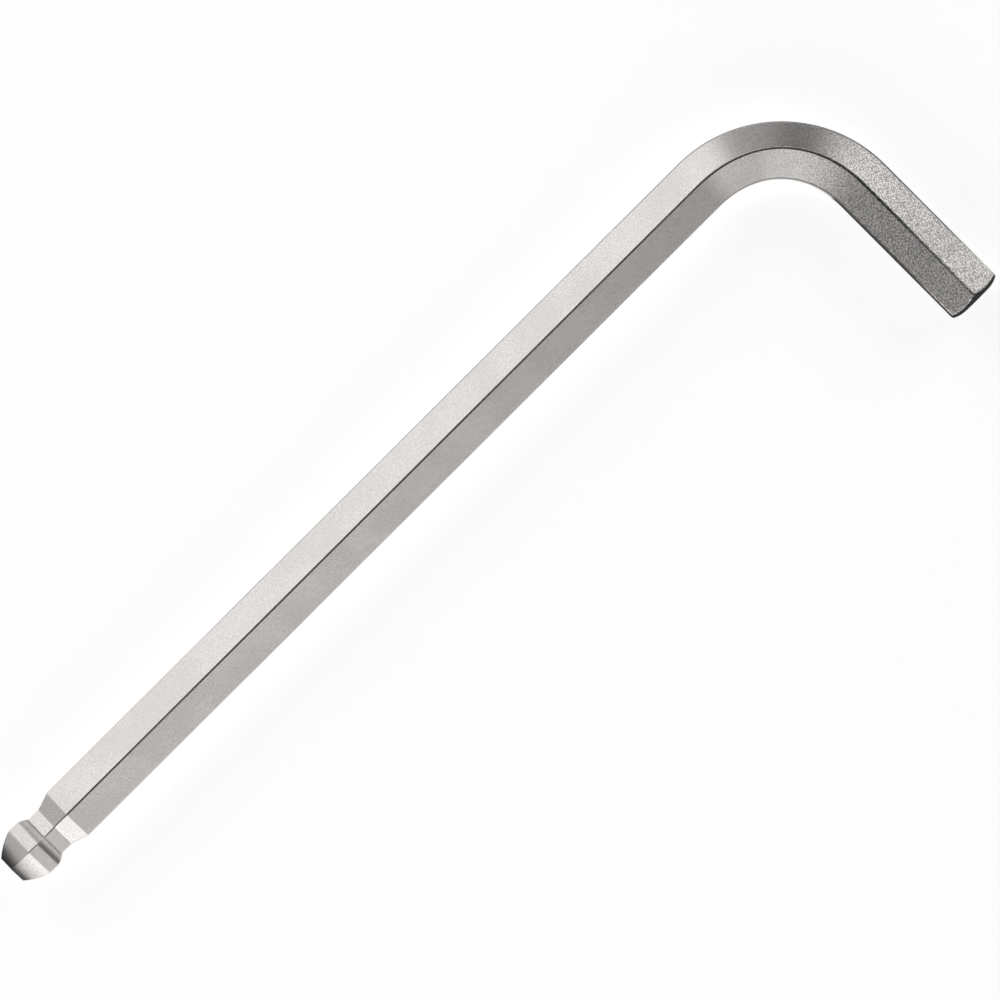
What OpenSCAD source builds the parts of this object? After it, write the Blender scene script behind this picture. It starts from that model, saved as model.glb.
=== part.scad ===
// Ball-end hex key. One hexagonal steel bar is bent once, ground to a six-sided
// ball at the end of the long arm and turned round at the end of the short arm.
// It lies flat, with one edge of the hexagon up and one down. The long arm runs
// along X with the ball towards -X, and the short arm points to -Y.
// The origin is on the surface that it lies on, under the middle of its outline.

/* [Bar] */
// Size across the flats of the hexagonal bar
across_flats = 10; // [8:0.5:12]
// Width of the rounded land along each of the six edges of the bar
edge_land = 0.45; // [0.2:0.05:0.8]

/* [Arms] */
// Long arm, from the tip of the ball to the outer flat of the short arm
long_arm = 187; // [120:1:260]
// Short arm, from its end to the outer flat of the long arm
short_arm = 51.5; // [45:0.5:90]
// Radius of the bend, along the middle of the bar
bend_radius = 19.5; // [12:0.5:24]

/* [Short end] */
// Flat middle of the short arm's end, measured across
end_flat_d = 5.2; // [3:0.1:6.4]
// Radius of the turned curve that leads from that flat out to the edges
end_round_radius = 5; // [4:0.1:8]

/* [Ball end] */
// Size across the flats at the tip
tip_across = 5.2; // [4:0.1:6]
// Length of the curved nose, from the tip to the full width of the bar
nose_length = 4.3; // [3.5:0.1:5.5]
// Radius of the curve of each flat on the nose
nose_radius = 12.5; // [8:0.5:20]
// Length of the band where the ball has the full width of the bar
band_length = 1.5; // [0.5:0.1:2.5]
// Radius of the back of the ball, from the band down to the neck
back_radius = 4.3; // [3.8:0.1:5.5]
// Angle at which the back of the ball leaves the band
back_start_angle = 10; // [5:1:20]
// Size across the flats at the neck
neck_across = 8; // [7:0.1:8.6]
// Length of the straight neck behind the ball
neck_length = 2.3; // [1:0.1:4]
// Length of the taper from the neck out to the bar
taper_length = 3; // [2:0.1:6]

/* [Hidden] */

// Smoothness of the round shapes
$fn = 96;

sides = 6;
half_width = across_flats / 2;
// Tools and the stock that they cut reach this far past the finished metal
overrun = 2;

// Radius of the lands, which are all turned about the middle of the bar
land_radius = norm([half_width, half_width * tan(30) - edge_land / sqrt(3)]);

// Straight lengths of bar on each side of the bend
long_run = long_arm - half_width - bend_radius;
short_run = short_arm - half_width - bend_radius;

// Places along the ball end, measured from its tip
band_end = nose_length + band_length;
back_centre_x = band_end - back_radius * sin(back_start_angle);
back_centre_y = half_width - back_radius * cos(back_start_angle);
neck_start = back_centre_x + norm_leg(back_radius, neck_across / 2 - back_centre_y);
neck_end = neck_start + neck_length;
taper_end = neck_end + taper_length;

// Centre of the nose curve, found from the two points that the curve joins
nose_rise = half_width - tip_across / 2;
nose_chord = norm([nose_length, nose_rise]);
nose_sag = norm_leg(nose_radius, nose_chord / 2);
nose_centre_x = (nose_length + nose_sag * 2 * nose_rise / nose_chord) / 2;
nose_centre_y = (half_width + tip_across / 2 - nose_sag * 2 * nose_length / nose_chord) / 2;

// Second leg of a right triangle
function norm_leg(hypotenuse, leg) = sqrt(pow(hypotenuse, 2) - pow(leg, 2));

// Cross section of the bar, with an edge up and an edge down
module section() {
    intersection() {
        rotate(30) circle(r = half_width / cos(30), $fn = sides);
        circle(r = land_radius);
    }
}

// A straight length of bar along +X
module straight(length) {
    rotate([90, 0, 90]) linear_extrude(length) section();
}

// A quarter turn of bar, from heading +X to heading -Y
module elbow() {
    translate([0, -bend_radius, 0]) rotate_extrude(angle = 90) translate([bend_radius, 0]) section();
}

// What the grinding wheel takes off one flat of the ball end, seen from the side:
// X runs from the tip along the bar, and Y is the height above its middle
module wheel_profile() {
    top = half_width + overrun;
    taper_rise = half_width - neck_across / 2;
    difference() {
        translate([-overrun, 0]) square([band_end + overrun, top]);
        translate([nose_centre_x, nose_centre_y]) circle(r = nose_radius);
    }
    difference() {
        polygon([
            [back_centre_x, top],
            [back_centre_x, neck_across / 2],
            [neck_end, neck_across / 2],
            [taper_end, half_width],
            [taper_end + taper_length * overrun / taper_rise, top]
        ]);
        translate([back_centre_x, back_centre_y]) circle(r = back_radius);
    }
}

// The wheel's pass over each of the six flats in turn
module ball_grinding() {
    pass_width = 2 * across_flats;
    for (i = [0:sides - 1])
        rotate([i * 360 / sides, 0, 0]) linear_extrude(pass_width, center = true) wheel_profile();
}

// The long arm from the tip of its ball, at the origin, to the bend
module long_arm_bar() {
    difference() {
        straight(long_run);
        ball_grinding();
    }
}

// The round outline that the short arm's end is turned to, along +Z up to its flat
module end_form(length) {
    flat_r = end_flat_d / 2;
    shank_r = flat_r + 0.9 * end_round_radius;
    rotate_extrude() {
        square([flat_r, length]);
        translate([flat_r, 0]) intersection() {
            square([end_round_radius, length]);
            union() {
                translate([0, length - end_round_radius]) circle(r = end_round_radius);
                square([shank_r - flat_r, length - end_round_radius / 2]);
            }
        }
    }
}

// The short arm along +X from the bend to its rounded end
module short_arm_bar() {
    intersection() {
        straight(short_run + overrun);
        translate([-overrun, 0, 0]) rotate([0, 90, 0]) end_form(short_run + overrun);
    }
}

// One bar, placed with the middle of its outline over the origin
module hex_key() {
    color("silver")
    translate([-long_arm / 2, short_arm / 2 - half_width, land_radius]) {
        long_arm_bar();
        translate([long_run, 0, 0]) elbow();
        translate([long_run + bend_radius, -bend_radius, 0]) rotate([0, 0, -90]) short_arm_bar();
    }
}

hex_key();
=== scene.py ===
import math

import bpy
from mathutils import Euler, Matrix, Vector


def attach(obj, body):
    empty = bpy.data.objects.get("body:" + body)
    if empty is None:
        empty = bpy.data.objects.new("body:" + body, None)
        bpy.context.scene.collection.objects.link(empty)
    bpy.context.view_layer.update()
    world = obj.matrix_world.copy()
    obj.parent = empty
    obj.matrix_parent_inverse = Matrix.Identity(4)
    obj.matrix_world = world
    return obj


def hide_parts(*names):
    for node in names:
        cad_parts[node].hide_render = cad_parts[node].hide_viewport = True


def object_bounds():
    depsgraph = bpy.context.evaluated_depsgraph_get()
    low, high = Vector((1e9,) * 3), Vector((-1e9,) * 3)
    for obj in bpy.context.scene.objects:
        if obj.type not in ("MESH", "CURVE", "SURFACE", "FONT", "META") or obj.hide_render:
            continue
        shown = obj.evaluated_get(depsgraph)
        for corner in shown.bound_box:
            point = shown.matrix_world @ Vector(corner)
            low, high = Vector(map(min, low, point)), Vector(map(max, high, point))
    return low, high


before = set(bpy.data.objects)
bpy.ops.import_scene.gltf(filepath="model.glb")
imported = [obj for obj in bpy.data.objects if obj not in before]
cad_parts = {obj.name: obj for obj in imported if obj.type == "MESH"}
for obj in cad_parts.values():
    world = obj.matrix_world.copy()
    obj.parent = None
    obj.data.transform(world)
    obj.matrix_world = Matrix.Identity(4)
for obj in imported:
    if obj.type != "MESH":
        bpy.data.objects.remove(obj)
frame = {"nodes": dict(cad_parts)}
cadLow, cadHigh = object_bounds()
print("frame loaded:", ", ".join(frame["nodes"]))

mm = 0.001         # everything below is in metres, as the frame is
small = 0.01 * mm  # places closer than this count as one


# Small helpers

def clearSelection():
    if bpy.context.object and bpy.context.object.mode != "OBJECT":
        bpy.ops.object.mode_set(mode="OBJECT")
    bpy.ops.object.select_all(action="DESELECT")


def makeActive(piece):
    clearSelection()
    piece.select_set(True)
    bpy.context.view_layer.objects.active = piece


def selectMode(kind):
    bpy.ops.mesh.select_mode(type=kind)


# In object mode: picks the faces of the active mesh that pass a test, and goes back to edit mode
def pickFaces(test):
    bpy.ops.object.mode_set(mode="EDIT")
    selectMode("FACE")
    bpy.ops.mesh.select_all(action="DESELECT")
    bpy.ops.object.mode_set(mode="OBJECT")
    for face in bpy.context.object.data.polygons:
        face.select = test(face)
    bpy.ops.object.mode_set(mode="EDIT")


# The same for edges; the test gets the places of an edge's two ends
def pickEdges(test):
    bpy.ops.object.mode_set(mode="EDIT")
    selectMode("EDGE")
    bpy.ops.mesh.select_all(action="DESELECT")
    bpy.ops.object.mode_set(mode="OBJECT")
    mesh = bpy.context.object.data
    for edge in mesh.edges:
        ends = [mesh.vertices[i].co for i in edge.vertices]
        edge.select = test(*ends)
    bpy.ops.object.mode_set(mode="EDIT")


def extrudeBy(move):
    bpy.ops.mesh.extrude_region_move(TRANSFORM_OT_translate={"value": move})


def applyModifier(piece, modifier):
    makeActive(piece)
    bpy.ops.object.modifier_apply(modifier=modifier.name)


# The key: one bar, ground to a ball, bent once and turned round at its short end

key = {
    "acrossFlats": 10 * mm,
    "bendRadius": 19.5 * mm,    # along the middle of the bar
    "bendSteps": 60,
    "bendSqueeze": 0.33 * mm,   # how far the inner side is pressed in, halfway round the bend
    "bendDrift": 0.5 * mm,      # and how far the upper and the lower edge move outward there
    "tipAcross": 5.2 * mm,      # flat tip of the ball
    "noseLength": 4.3 * mm,
    "noseRadius": 12.5 * mm,
    "noseSteps": 14,
    "bandLength": 1.5 * mm,     # the ball is as wide as the bar here
    "backRadius": 4.3 * mm,
    "backStart": 10,            # degrees at which the back leaves the band
    "backSteps": 14,
    "neckAcross": 8 * mm,
    "neckLength": 2.3 * mm,
    "taperLength": 3 * mm,
    "landWidth": 0.33 * mm,     # how far the rounded edge reaches onto each flat
    "landSteps": 6,
    "ballEdge": 0.08,           # share of that width on the ground edges of the ball end
    "ballEdgeShade": 0.7,            # and share of the bar's painted dark edges, a painted reflection, there
    "besideEdgeShade": 0.5,          # share of an edge's painted dark reflection right beside its flats, but all of it on side edges
    "sideHeight": 0.8,          # side edges are nearer the mid-plane than this share of half the bar
    "endFlat": 5.2 * mm,        # flat middle of the turned end
    "endRadius": 5 * mm,        # curve that leads from it out to the edges
    "endDepth": 1.25 * mm,      # length of the short arm that the turning reaches
    "endCuts": 17,              # points along each flat, round the turned end
    "endSteps": 12,
    "rimRadius": 0.25 * mm,     # rounding where the turned curve meets the bar
    "rimSteps": 4,
    "smoothBelow": 24,          # degrees between faces up to which shading runs on
    "flatWeight": 90,           # how much large faces count in the shading, out of 100
}

half = key["acrossFlats"] / 2
flatToCorner = math.cos(math.radians(30))  # a hexagon's size across the flats over that across the corners
sharpReach = half / flatToCorner           # from the middle of the bar to a sharp edge
landReach = (cadHigh.z - cadLow.z) / 2     # and to a rounded one
axisZ = (cadLow.z + cadHigh.z) / 2
longY = cadHigh.y - half                   # middle of the long arm
shortX = cadHigh.x - half                  # middle of the short arm
tipX = cadLow.x
endY = cadLow.y
bendX = shortX - key["bendRadius"]
bendY = longY - key["bendRadius"]
longRun = bendX - tipX                     # straight length of the long arm, with the ball end
shortRun = bendY - endY                    # and of the short arm


# Distance of a point along the bar from the tip of the ball
def along(point):
    if point.x <= bendX:
        return point.x - tipX
    if point.y <= bendY:
        return longRun + key["bendRadius"] * math.pi / 2 + bendY - point.y
    return longRun + key["bendRadius"] * math.atan2(point.x - bendX, point.y - bendY)


# Sections of the ball end, as (distance from the tip, half the size across the flats), and the
# distances at which two of its grinding passes meet in a crease
def ballSections():
    tip = key["tipAcross"] / 2
    rise = half - tip
    chord = math.hypot(key["noseLength"], rise)
    sag = math.sqrt(key["noseRadius"] ** 2 - (chord / 2) ** 2)
    noseX = (key["noseLength"] + 2 * sag * rise / chord) / 2
    noseY = (half + tip - 2 * sag * key["noseLength"] / chord) / 2
    start = math.atan2(tip - noseY, -noseX)
    stop = math.atan2(half - noseY, key["noseLength"] - noseX)
    sections = []
    for i in range(key["noseSteps"] + 1):
        a = start + (stop - start) * i / key["noseSteps"]
        sections.append((noseX + key["noseRadius"] * math.cos(a), noseY + key["noseRadius"] * math.sin(a)))
    creases = [key["noseLength"], key["noseLength"] + key["bandLength"]]
    start = math.radians(key["backStart"])
    backX = creases[-1] - key["backRadius"] * math.sin(start)
    backY = half - key["backRadius"] * math.cos(start)
    stop = math.acos((key["neckAcross"] / 2 - backY) / key["backRadius"])
    for i in range(key["backSteps"] + 1):
        a = start + (stop - start) * i / key["backSteps"]
        sections.append((backX + key["backRadius"] * math.sin(a), backY + key["backRadius"] * math.cos(a)))
    creases.append(sections[-1][0])
    sections.append((creases[-1] + key["neckLength"], key["neckAcross"] / 2))
    creases.append(sections[-1][0])
    sections.append((creases[-1] + key["taperLength"], half))
    creases.append(sections[-1][0])
    return sections, creases


def makeBar(sections):
    clearSelection()
    bpy.ops.mesh.primitive_circle_add(
        vertices=6, radius=sections[0][1] / flatToCorner, fill_type="NGON",
        location=(tipX, longY, axisZ), rotation=(math.pi / 2, 0, math.pi / 2))
    piece = bpy.context.object
    piece.name = "hexKey"
    bpy.ops.object.transform_apply(location=True, rotation=True, scale=True)
    bpy.ops.object.mode_set(mode="EDIT")
    selectMode("FACE")
    bpy.ops.mesh.select_all(action="SELECT")
    for before, after in zip(sections, sections[1:]):  # the ball, its neck and the taper
        extrudeBy((after[0] - before[0], 0, 0))
        factor = after[1] / before[1]
        bpy.ops.transform.resize(value=(1, factor, factor), center_override=(tipX + after[0], longY, axisZ))
    extrudeBy((longRun - sections[-1][0], 0, 0))  # the long arm
    bpy.ops.mesh.spin(
        steps=key["bendSteps"], angle=math.pi / 2, center=(bendX, bendY, axisZ), axis=(0, 0, 1))
    extrudeBy((0, key["endDepth"] - shortRun, 0))  # the short arm, as far as the turned end
    bpy.ops.mesh.select_all(action="SELECT")
    bpy.ops.mesh.remove_doubles(threshold=small)
    bpy.ops.mesh.normals_make_consistent(inside=False)
    bpy.ops.object.mode_set(mode="OBJECT")
    print("bar modelled:", len(piece.data.polygons), "faces")
    return piece


# Bending presses the inner side of the bar in and moves the edges outward, most halfway round
def squeezeBend(piece):
    centre = Vector((bendX, bendY))
    for vertex in piece.data.vertices:
        spoke = vertex.co.xy - centre
        if min(spoke) > small:  # within the bend
            share = math.sin(2 * math.atan2(spoke.x, spoke.y)) ** 2
            inward = key["bendRadius"] - spoke.length
            if inward > small:
                move = key["bendSqueeze"]
            elif inward > -small:  # the upper and the lower edge
                move = key["bendDrift"]
            else:
                move = 0
            spoke *= 1 + move * share / spoke.length
            vertex.co.xy = centre + spoke


# Gives every long edge its rounding, wide on the bar and fine on the ball, and marks it to be painted dark
# as a painted reflection
def roundEdges(piece, creases):
    makeActive(piece)
    mesh = piece.data
    barStart = creases[-1]

    def reach(point):  # of an edge, from the middle of the bar
        return sharpReach if along(point) > barStart else math.hypot(point.y - longY, point.z - axisZ)

    lowering = sharpReach - landReach
    weights = mesh.attributes.new("bevel_weight_edge", "FLOAT", "EDGE")
    for edge in mesh.edges:
        ends = [mesh.vertices[i].co for i in edge.vertices]
        if abs(along(ends[0]) - along(ends[1])) > small:
            share = (min(reach(end) for end in ends) - landReach) / lowering
            weights.data[edge.index].value = min(1, max(key["ballEdge"], share))

    for slot in range(2):  # the second slot is only there to mark the rounded faces
        mesh.materials.append(None)
    bevel = piece.modifiers.new("lands", "BEVEL")
    bevel.limit_method = "WEIGHT"
    bevel.width = key["landWidth"]
    bevel.segments = key["landSteps"]
    bevel.profile = (1 - lowering / key["landWidth"]) ** 2  # keeps the height that the CAD has
    bevel.use_clamp_overlap = False
    bevel.material = 1
    applyModifier(piece, bevel)

    for vertex in mesh.vertices:  # no edge stands out from the bar's lands
        if along(vertex.co) < barStart and reach(vertex.co) > landReach:
            spoke = (vertex.co.yz - Vector((longY, axisZ))) * landReach / reach(vertex.co)
            vertex.co.yz = spoke + Vector((longY, axisZ))
        vertex.co.z = min(cadHigh.z, max(cadLow.z, vertex.co.z))

    onFlat = set()
    for face in mesh.polygons:
        if face.material_index == 0:
            onFlat.update(face.vertices)
        face.material_index = 0
    besideFlat = set()
    for face in mesh.polygons:
        if not onFlat.isdisjoint(face.vertices):
            besideFlat.update(face.vertices)
    # marks where the finish paints the edges dark: a painted reflection along the rounded edges
    edgeShade = mesh.attributes.new("paintedEdgeShade", "FLOAT", "POINT")
    for vertex in mesh.vertices:
        if vertex.index not in onFlat:
            onSide = abs(vertex.co.z - axisZ) < half * key["sideHeight"]
            worn = key["besideEdgeShade"] if vertex.index in besideFlat and not onSide else 1
            edgeShade.data[vertex.index].value = worn * (1 if along(vertex.co) > barStart else key["ballEdgeShade"])
    mesh.materials.clear()

    pickEdges(lambda a, b: any(abs(along(a) - c) < small and abs(along(b) - c) < small for c in creases))
    bpy.ops.mesh.mark_sharp()
    bpy.ops.object.mode_set(mode="OBJECT")
    print("edges rounded:", len(mesh.polygons), "faces")


# How one point of the bar's outline runs over the turned end: (distance from the bar's middle,
# distance from the end), from the bar round the rim and down the turned curve to the flat
def turnedCurve(reach):
    flat, curve, rim = key["endFlat"] / 2, key["endRadius"], key["rimRadius"]
    rimOut = reach - rim
    rimDepth = curve - math.sqrt((curve - rim) ** 2 - (rimOut - flat) ** 2)
    meet = math.asin((rimOut - flat) / (curve - rim))
    points = []
    for i in range(key["rimSteps"] + 1):
        a = math.pi / 2 + (meet - math.pi / 2) * i / key["rimSteps"]
        points.append((rimOut + rim * math.sin(a), rimDepth - rim * math.cos(a)))
    for i in range(1, key["endSteps"] + 1):
        a = meet * (1 - i / key["endSteps"])
        points.append((flat + curve * math.sin(a), curve * (1 - math.cos(a))))
    return points


# Turns the short arm's end round: its end face is extruded ring by ring along those curves
def turnEnd(piece):
    makeActive(piece)
    mesh = piece.data
    start = endY + key["endDepth"] + small
    pickEdges(lambda a, b: max(a.y, b.y) < start and (a - b).length > key["landWidth"])  # the flats' ends
    bpy.ops.mesh.subdivide(number_cuts=key["endCuts"])
    bpy.ops.object.mode_set(mode="OBJECT")
    pickFaces(lambda face: face.center.y < start)
    bpy.ops.object.mode_set(mode="OBJECT")

    axis = Vector((shortX, 0, axisZ))
    curves = []
    for vertex in mesh.vertices:
        if vertex.select:
            spoke = vertex.co * Vector((1, 0, 1)) - axis
            curves.append((spoke.normalized(), turnedCurve(spoke.length)))
    for ring in range(key["rimSteps"] + key["endSteps"] + 1):
        bpy.ops.object.mode_set(mode="EDIT")
        extrudeBy((0, 0, 0))
        bpy.ops.object.mode_set(mode="OBJECT")
        for vertex in mesh.vertices:
            if vertex.select:
                spoke = vertex.co * Vector((1, 0, 1)) - axis
                outward, points = max(curves, key=lambda curve: curve[0].dot(spoke))
                vertex.co = axis + outward * points[ring][0]
                vertex.co.y = endY + points[ring][1]
    print("short end turned:", len(mesh.polygons), "faces")


def shadeKey(piece):
    makeActive(piece)
    bpy.ops.object.shade_smooth_by_angle(angle=math.radians(key["smoothBelow"]))
    weighted = piece.modifiers.new("flatFaces", "WEIGHTED_NORMAL")
    weighted.keep_sharp = True
    weighted.weight = key["flatWeight"]
    applyModifier(piece, weighted)


sections, creases = ballSections()
piece = makeBar(sections)
squeezeBend(piece)
roundEdges(piece, creases)
turnEnd(piece)
shadeKey(piece)
print("key finished:", len(piece.data.polygons), "faces", [round(d / mm, 3) for d in piece.dimensions])


# The finish: satin plate, with a grain that grows coarser from the bend to the short end

plate = {
    "color": (0.81, 0.78, 0.757, 1),
    "mottledColor": (0.785, 0.754, 0.73, 1),
    "mottleScale": 110,                # patches of about 9 mm
    "mottleDetail": 3,
    "mottleColorRange": (0.4, 0.62),   # of the mottling, over which the colour changes
    "mottleRoughRange": (0.35, 0.65),  # and over which the roughness changes
    "roughness": (0.25, 0.28),
    "grainScale": 4200,                # grain of about 0.24 mm
    "grainDetail": 3,
    "grainWay": (1, -1, 0),            # x minus y grows along both arms, from the ball to the short end
    "grainFrom": 45 * mm,              # x minus y where the grain starts to coarsen, by the bend
    "grainTo": 105 * mm,               # and where it is coarsest
    "grainDepth": (0.009 * mm, 0.057 * mm),  # on the smooth bar and on the coarse end
    "coarseRoughness": 0.06,           # added on the coarse end
    "pitColor": (0.2, 0.2, 0.2, 1),    # between the grains
    "pitRange": (0.41, 0.6),           # of the grain, over which the pits darken
    "pitShare": (0.18, 0.9),           # how much they show on the smooth bar and on the coarse end
    "edgeShadeColors": ((0.3, 0.287, 0.277, 1), (0.03, 0.03, 0.03, 1)),  # painted dark reflection along the edges, on the smooth bar and the coarse end
    "edgeShadeRange": (0.6, 1),             # of the painted edge shade, over which that colour sets in
    "wornGrain": (0.3, 0.55, 0.7, 1),  # the grain's range, and how much of that colour it leaves
    "coarseEdgeShade": 0.55,                # widens the painted dark edges on the coarse end
}


def makePlatedSteel():
    material = bpy.data.materials.new("platedSteel")
    material.use_nodes = True
    nodes = material.node_tree.nodes
    links = material.node_tree.links
    shader = nodes["Principled BSDF"]
    shader.inputs["Metallic"].default_value = 1
    place = nodes.new("ShaderNodeTexCoord").outputs["Object"]

    def noise(scale, detail):
        node = nodes.new("ShaderNodeTexNoise")
        node.inputs["Scale"].default_value = scale
        node.inputs["Detail"].default_value = detail
        links.new(place, node.inputs["Vector"])
        return node.outputs["Fac"]

    def spread(value, low, high, toLow=0, toHigh=1):
        node = nodes.new("ShaderNodeMapRange")
        node.interpolation_type = "SMOOTHSTEP"
        node.inputs["From Min"].default_value = low
        node.inputs["From Max"].default_value = high
        node.inputs["To Min"].default_value = toLow
        node.inputs["To Max"].default_value = toHigh
        links.new(value, node.inputs["Value"])
        return node.outputs["Result"]

    def mixColors(share, first, second):
        node = nodes.new("ShaderNodeMix")
        node.data_type = "RGBA"
        links.new(share, node.inputs["Factor"])
        for socket, color in ((node.inputs[6], first), (node.inputs[7], second)):
            if isinstance(color, tuple):
                socket.default_value = color
            else:
                links.new(color, socket)
        return node.outputs[2]

    def combine(operation, first, second):
        node = nodes.new("ShaderNodeMath")
        node.operation = operation
        links.new(first, node.inputs[0])
        links.new(second, node.inputs[1])
        return node.outputs[0]

    mottle = noise(plate["mottleScale"], plate["mottleDetail"])
    grain = noise(plate["grainScale"], plate["grainDetail"])

    bendward = nodes.new("ShaderNodeVectorMath")
    bendward.operation = "DOT_PRODUCT"
    bendward.inputs[1].default_value = plate["grainWay"]
    links.new(place, bendward.inputs[0])
    coarse = spread(bendward.outputs["Value"], plate["grainFrom"], plate["grainTo"])

    # the rounded edges are painted dark from the mask set on the key: a painted reflection
    edgeShade = nodes.new("ShaderNodeAttribute")
    edgeShade.attribute_name = "paintedEdgeShade"
    reach = combine("ADD", edgeShade.outputs["Fac"], spread(coarse, 0, 1, 0, plate["coarseEdgeShade"]))
    worn = combine("MULTIPLY", spread(reach, *plate["edgeShadeRange"]), spread(grain, *plate["wornGrain"]))
    plated = mixColors(spread(mottle, *plate["mottleColorRange"]), plate["color"], plate["mottledColor"])
    pits = combine("MULTIPLY", spread(grain, *plate["pitRange"]), spread(coarse, 0, 1, *plate["pitShare"]))
    grained = mixColors(pits, plated, plate["pitColor"])
    edgeShadeColor = mixColors(coarse, *plate["edgeShadeColors"])
    links.new(mixColors(worn, grained, edgeShadeColor), shader.inputs["Base Color"])
    rough = spread(mottle, *plate["mottleRoughRange"], *plate["roughness"])
    rough = combine("ADD", rough, spread(coarse, 0, 1, 0, plate["coarseRoughness"]))
    links.new(rough, shader.inputs["Roughness"])

    bump = nodes.new("ShaderNodeBump")
    links.new(grain, bump.inputs["Height"])
    links.new(spread(coarse, 0, 1, *plate["grainDepth"]), bump.inputs["Distance"])
    links.new(spread(worn, 0, 1, 1, 0), bump.inputs["Strength"])  # the grain fades on the edges painted dark
    links.new(bump.outputs["Normal"], shader.inputs["Normal"])
    return material


piece.data.materials.append(makePlatedSteel())
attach(piece, "root")
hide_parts("hex_key")
print("finish applied")


# The studio

studio = {
    "worldStrength": 0.05,
    "floorRadius": 2.8,
    "floorSides": 96,
    "coveRadius": 0.9,          # the floor's rim curves up, for low views
    "coveSteps": 6,
    "floorSmooth": 60,          # degrees between its faces up to which shading runs on
    "floorColor": (0.8, 0.8, 0.8, 1),
    "floorGlow": 0.763,         # what sight and reflections of the floor add to its own light
    "lampDistance": 0.8,
    "lamps": {  # soft boxes: azimuth from +X, elevation, width and height in degrees, radiance
        "shortArmBox": (0, 28, 29, 24, 1.51),
        "cornerBox": (54, 28, 24, 24, 0.31),
        "longArmBox": (89, 30, 40, 32, 1.01),
        "ballBox": (128, 27, 32, 23, 0.54),
        "insideBox": (184, 28, 16, 24, 0.42),
        "insideCorner": (203, 30, 22, 26, 0.98),
        "apexBox": (225, 34, 22, 14, 0.85),
        "lowApexBox": (226, 19, 26, 15, 1.3),
        "frontBox": (252, 28, 32, 24, 0.68),
        "frontEndBox": (279, 28, 22, 24, 0.33),
        "ridgeBox": (45, 68, 70, 16, 1.3),
    },
    "reflectedOnly": ("ridgeBox",),  # shows in reflections along the edges and leaves the floor alone
    "flags": {  # dark cards: foot x and y, heading in degrees, length, width, rise, grey
        "tipFlag": (tipX - 1 * mm, longY + 8 * mm, 180, 26 * mm, 44 * mm, 12 * mm, 0.02),
        "endFlag": (shortX, endY - 1 * mm, 270, 26 * mm, 44 * mm, 12 * mm, 0.2),
        "insideFlag": (shortX - half, endY + 14 * mm, 180, 8 * mm, 30 * mm, 2 * mm, 0.02),
        "backFlag": (tipX + 55 * mm, longY - 35 * mm, 325, 10 * mm, 30 * mm, 9.9 * mm, 0.02),
        "outerBackFlag": (tipX + 55 * mm, longY + 35 * mm, 35, 10 * mm, 30 * mm, 9.9 * mm, 0.02),
    },
    "flagRoughness": 0.9,
    "target": (8.12 * mm, 6.92 * mm, 5.65 * mm),
    "cameraDistance": 1.677,
    "cameraTurn": (0, 0, -44.89),  # degrees
    "cameraLens": 360,
    "sensorWidth": 36,
    "cameraReach": 100,
}


# Its own white, and a glow that only sight and reflections get, so that the key's shadow stays
def makeFloorPaint():
    material = bpy.data.materials.new("paleFloor")
    material.use_nodes = True
    nodes = material.node_tree.nodes
    links = material.node_tree.links
    nodes.remove(nodes["Principled BSDF"])
    paint = nodes.new("ShaderNodeBsdfDiffuse")
    paint.inputs["Color"].default_value = studio["floorColor"]
    path = nodes.new("ShaderNodeLightPath")
    seen = path.outputs["Is Camera Ray"]
    for kind in ("Is Glossy Ray", "Is Transmission Ray"):
        either = nodes.new("ShaderNodeMath")
        either.operation = "MAXIMUM"
        links.new(seen, either.inputs[0])
        links.new(path.outputs[kind], either.inputs[1])
        seen = either.outputs[0]
    strength = nodes.new("ShaderNodeMath")
    strength.operation = "MULTIPLY"
    strength.inputs[1].default_value = studio["floorGlow"]
    links.new(seen, strength.inputs[0])
    glow = nodes.new("ShaderNodeEmission")
    links.new(strength.outputs[0], glow.inputs["Strength"])
    both = nodes.new("ShaderNodeAddShader")
    links.new(paint.outputs[0], both.inputs[0])
    links.new(glow.outputs[0], both.inputs[1])
    links.new(both.outputs[0], nodes["Material Output"].inputs["Surface"])
    return material


def makeFloor():
    clearSelection()
    bpy.ops.mesh.primitive_circle_add(
        vertices=studio["floorSides"], radius=studio["floorRadius"], fill_type="NGON")
    floor = bpy.context.object
    floor.name = "floor"
    bpy.ops.object.mode_set(mode="EDIT")
    selectMode("EDGE")
    bpy.ops.mesh.select_all(action="SELECT")
    bpy.ops.mesh.region_to_loop()
    radius = studio["floorRadius"]
    for step in range(studio["coveSteps"]):
        now = math.radians(90 * step / studio["coveSteps"])
        after = math.radians(90 * (step + 1) / studio["coveSteps"])
        rise = studio["coveRadius"] * (math.cos(now) - math.cos(after))
        wider = radius + studio["coveRadius"] * (math.sin(after) - math.sin(now))
        bpy.ops.mesh.extrude_edges_move(TRANSFORM_OT_translate={"value": (0, 0, rise)})
        factor = wider / radius
        bpy.ops.transform.resize(value=(factor, factor, 1), center_override=(0, 0, 0))
        radius = wider
    bpy.ops.object.mode_set(mode="OBJECT")
    bpy.ops.object.shade_smooth_by_angle(angle=math.radians(studio["floorSmooth"]))
    floor.data.materials.append(makeFloorPaint())


def makeCardPaint(name, grey):
    material = bpy.data.materials.new(name)
    material.use_nodes = True
    shader = material.node_tree.nodes["Principled BSDF"]
    shader.inputs["Base Color"].default_value = (grey, grey, grey, 1)
    shader.inputs["Roughness"].default_value = studio["flagRoughness"]
    return material


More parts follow.
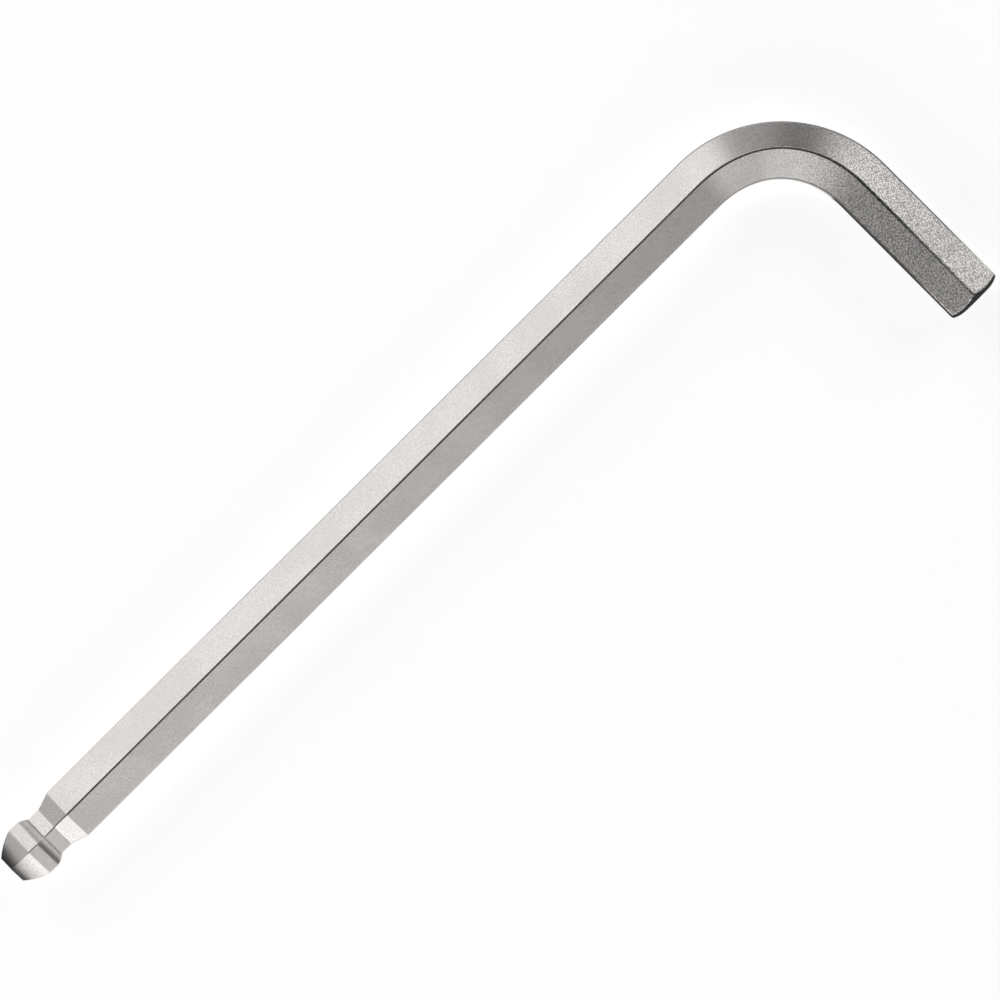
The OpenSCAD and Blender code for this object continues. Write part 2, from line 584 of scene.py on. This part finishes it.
# A low dark card that slopes up from its foot, to darken what the parts of the key near it reflect
def makeFlag(name, footX, footY, heading, length, width, rise, grey):
    clearSelection()
    bpy.ops.mesh.primitive_plane_add(size=1)
    flag = bpy.context.object
    flag.name = name
    flag.scale = (length, width, 1)
    slope = math.asin(rise / length)
    turn = math.radians(heading)
    reach = length / 2 * math.cos(slope)
    flag.rotation_euler = (0, -slope, turn)
    flag.location = (footX + reach * math.cos(turn), footY + reach * math.sin(turn), rise / 2 + small)
    bpy.ops.object.transform_apply(location=True, rotation=True, scale=True)
    flag.data.materials.append(makeCardPaint(name + "Paint", grey))
    flag.visible_camera = False
    flag.visible_diffuse = False
    flag.visible_shadow = False


def makeLamp(name, azimuth, elevation, width, height, radiance):
    distance = studio["lampDistance"]
    data = bpy.data.lights.new(name, "AREA")
    data.shape = "RECTANGLE"
    data.size = 2 * distance * math.tan(math.radians(width / 2))
    data.size_y = 2 * distance * math.tan(math.radians(height / 2))
    data.energy = radiance * math.pi * data.size * data.size_y
    lamp = bpy.data.objects.new(name, data)
    bpy.context.scene.collection.objects.link(lamp)
    a = math.radians(azimuth)
    e = math.radians(elevation)
    away = Vector((math.cos(a) * math.cos(e), math.sin(a) * math.cos(e), math.sin(e)))
    lamp.location = Vector(studio["target"]) + away * distance
    lamp.rotation_euler = (-away).to_track_quat("-Z", "Y").to_euler()
    lamp.visible_camera = False
    lamp.visible_diffuse = name not in studio["reflectedOnly"]


def makeWorld():
    world = bpy.data.worlds.new("softRoom")
    world.use_nodes = True
    background = world.node_tree.nodes["Background"]
    background.inputs["Strength"].default_value = studio["worldStrength"]
    background.inputs["Color"].default_value = (1, 1, 1, 1)
    bpy.context.scene.world = world


def makeCamera():
    camera = bpy.data.objects.new("camera", bpy.data.cameras.new("camera"))
    bpy.context.scene.collection.objects.link(camera)
    camera.data.sensor_width = studio["sensorWidth"]
    camera.data.lens = studio["cameraLens"]
    camera.data.clip_end = studio["cameraReach"]
    turn = Euler([math.radians(d) for d in studio["cameraTurn"]])
    camera.rotation_euler = turn
    back = turn.to_matrix() @ Vector((0, 0, studio["cameraDistance"]))
    camera.location = Vector(studio["target"]) + back
    bpy.context.scene.camera = camera


makeFloor()
for name, values in studio["flags"].items():
    makeFlag(name, *values)
makeWorld()
for name, values in studio["lamps"].items():
    makeLamp(name, *values)
makeCamera()
bpy.context.scene.view_settings.view_transform = "Standard"
print("studio set")
